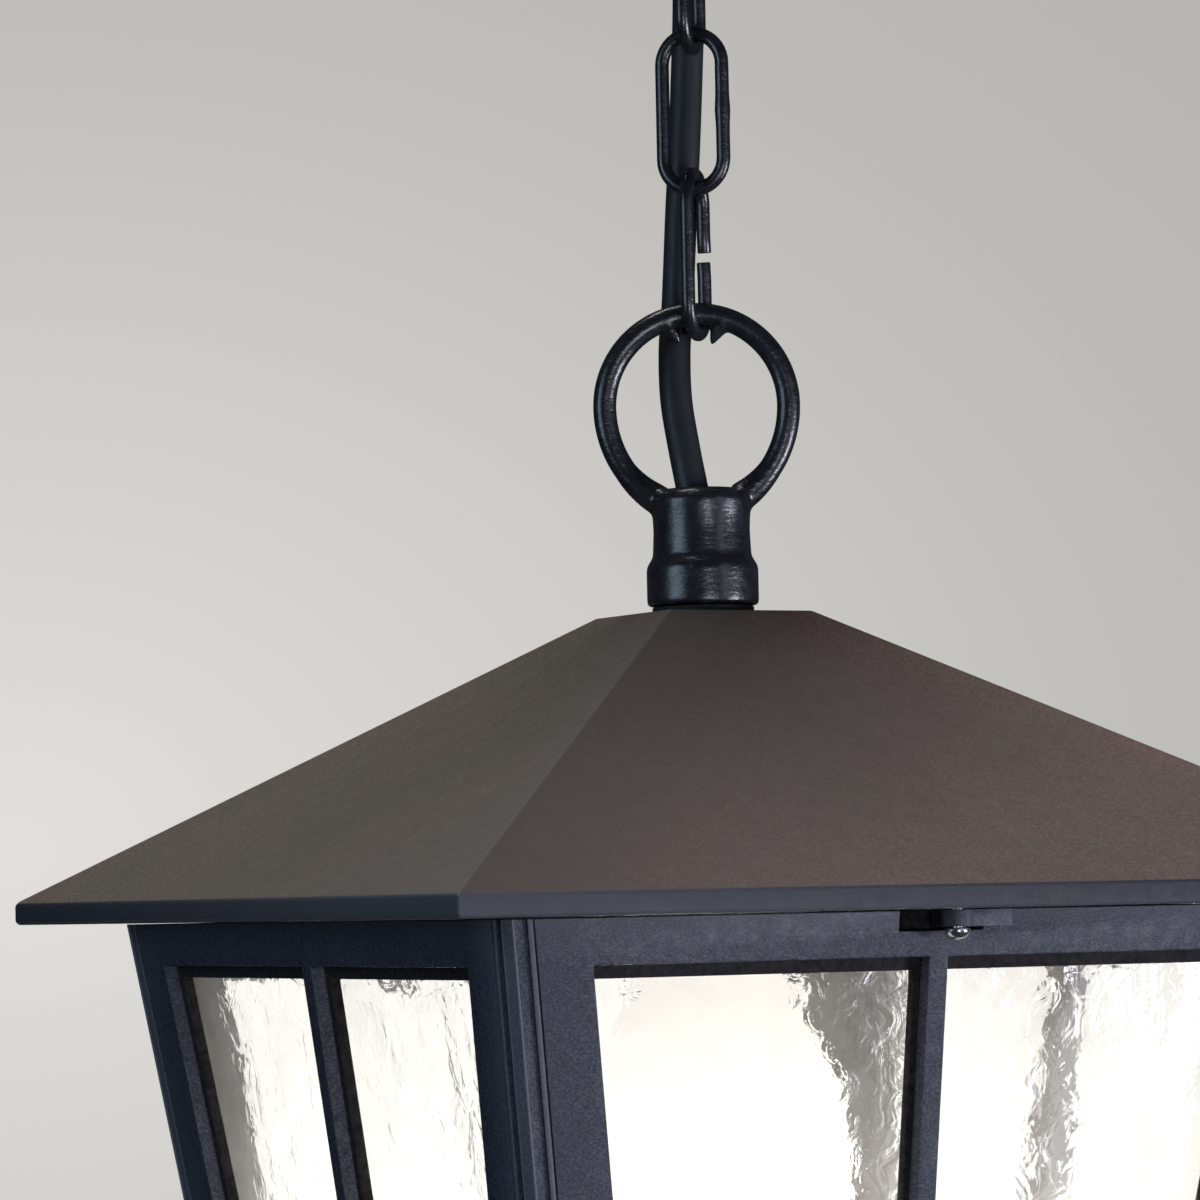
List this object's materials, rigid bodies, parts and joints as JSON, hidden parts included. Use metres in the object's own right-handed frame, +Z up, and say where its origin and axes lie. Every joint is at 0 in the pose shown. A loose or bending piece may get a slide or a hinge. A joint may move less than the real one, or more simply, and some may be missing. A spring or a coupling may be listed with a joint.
{
  "type": "hanging lantern",
  "caption": "Square tapered hanging lantern with a pyramid roof, glazed hinged cage, ring, chain and flex, hung from a round ceiling cover.",
  "frame": {"origin": "centre of the mounting strap's ceiling face", "axes": "+Z up along the lantern's axis, out of the ceiling face; -Y is the lantern's front, with the catch; +X to its right"},
  "size_m": [0.23, 0.23, 0.4961],
  "materials": {
    "frame_paint": "blue-grey paint, satin, speckled",
    "weathered_roof": "brown-grey matte, weathered",
    "black_iron": "black enamel, semi-gloss",
    "plated_steel": "plated, bright",
    "water_glass": "clear, rippled",
    "lamp_glass": "frosted, lit",
    "brass": "plain",
    "black_plastic": "moulded",
    "flex_sheath": "satin sheath",
    "gasket_rubber": "matte",
    "white_ceramic": "glazed"
  },
  "bodies": {
    "ceiling_mount": {"mounting_strap": "plated_steel", "canopy_cover": "black_iron", "canopy_hook": "black_iron", "hook_nut": "plated_steel", "terminal_block": "white_ceramic", "cable_grommet": "gasket_rubber", "canopy_screw_front": "black_iron", "canopy_screw_back": "black_iron"},
    "link_1": {"chain_link_1": "black_iron"},
    "link_2": {"chain_link_2": "black_iron"},
    "link_3": {"chain_link_3": "black_iron"},
    "connector": {"connector_link": "black_iron"},
    "head": {"hanging_loop": "black_iron", "loop_washer": "gasket_rubber", "roof_shell": "weathered_roof", "loop_nut": "brass", "lampholder_cap": "black_plastic", "lampholder_insert": "white_ceramic", "lampholder_skirt": "black_plastic", "lamp_cap": "brass", "lamp_glass": "lamp_glass", "hinge_leaf_roof": "frame_paint", "leaf_screw_left": "plated_steel", "leaf_screw_right": "plated_steel", "catch_pivot_screw": "plated_steel", "flex_cable": "flex_sheath"},
    "cage": {"corner_post_front_left": "frame_paint", "base_screw_front_left": "plated_steel", "corner_post_front_right": "frame_paint", "base_screw_front_right": "plated_steel", "corner_post_back_right": "frame_paint", "base_screw_back_right": "plated_steel", "corner_post_back_left": "frame_paint", "base_screw_back_left": "plated_steel", "top_rail_front": "frame_paint", "bottom_rail_front": "frame_paint", "glazing_bar_front": "frame_paint", "glass_pane_front": "water_glass", "pane_clip_front": "brass", "top_rail_right": "frame_paint", "bottom_rail_right": "frame_paint", "glazing_bar_right": "frame_paint", "glass_pane_right": "water_glass", "pane_clip_right": "brass", "top_rail_back": "frame_paint", "bottom_rail_back": "frame_paint", "glazing_bar_back": "frame_paint", "glass_pane_back": "water_glass", "pane_clip_back": "brass", "top_rail_left": "frame_paint", "bottom_rail_left": "frame_paint", "glazing_bar_left": "frame_paint", "glass_pane_left": "water_glass", "pane_clip_left": "brass", "base_plate": "frame_paint", "hinge_leaf_cage": "frame_paint", "hinge_pin": "plated_steel"},
    "catch": {"roof_catch": "frame_paint"}
  },
  "joints": [
    {"name": "hook_swing", "type": "hinge", "parent": "ceiling_mount", "child": "link_1", "pos_m": [0, 0, -0.0472], "axis": [0.6921, 0.7218, 0], "range_deg": [-15, 15], "deforming": ["flex_cable"]},
    {"name": "link_2_swing", "type": "hinge", "parent": "link_1", "child": "link_2", "pos_m": [0, 0, -0.0774], "axis": [0.7218, -0.6921, 0], "range_deg": [-15, 15], "deforming": ["flex_cable"]},
    {"name": "link_3_swing", "type": "hinge", "parent": "link_2", "child": "link_3", "pos_m": [0, 0, -0.1081], "axis": [0.6921, 0.7218, 0], "range_deg": [-15, 15], "deforming": ["flex_cable"]},
    {"name": "connector_swing", "type": "hinge", "parent": "link_3", "child": "connector", "pos_m": [0, 0, -0.1388], "axis": [0.7218, -0.6921, 0], "range_deg": [-15, 15], "deforming": ["flex_cable"]},
    {"name": "ring_swing", "type": "hinge", "parent": "connector", "child": "head", "pos_m": [0, 0, -0.1703], "axis": [0.6921, 0.7218, 0], "range_deg": [-15, 15], "deforming": ["flex_cable"]},
    {"name": "cage_hinge", "type": "hinge", "parent": "head", "child": "cage", "pos_m": [0, 0.1005, -0.29835], "axis": [1, 0, 0], "range_deg": [0, 75]},
    {"name": "catch_turn", "type": "hinge", "parent": "head", "child": "catch", "pos_m": [0.001, -0.1005, -0.29485], "axis": [0, 0, 1], "range_deg": [-90, 0]}
  ]
}
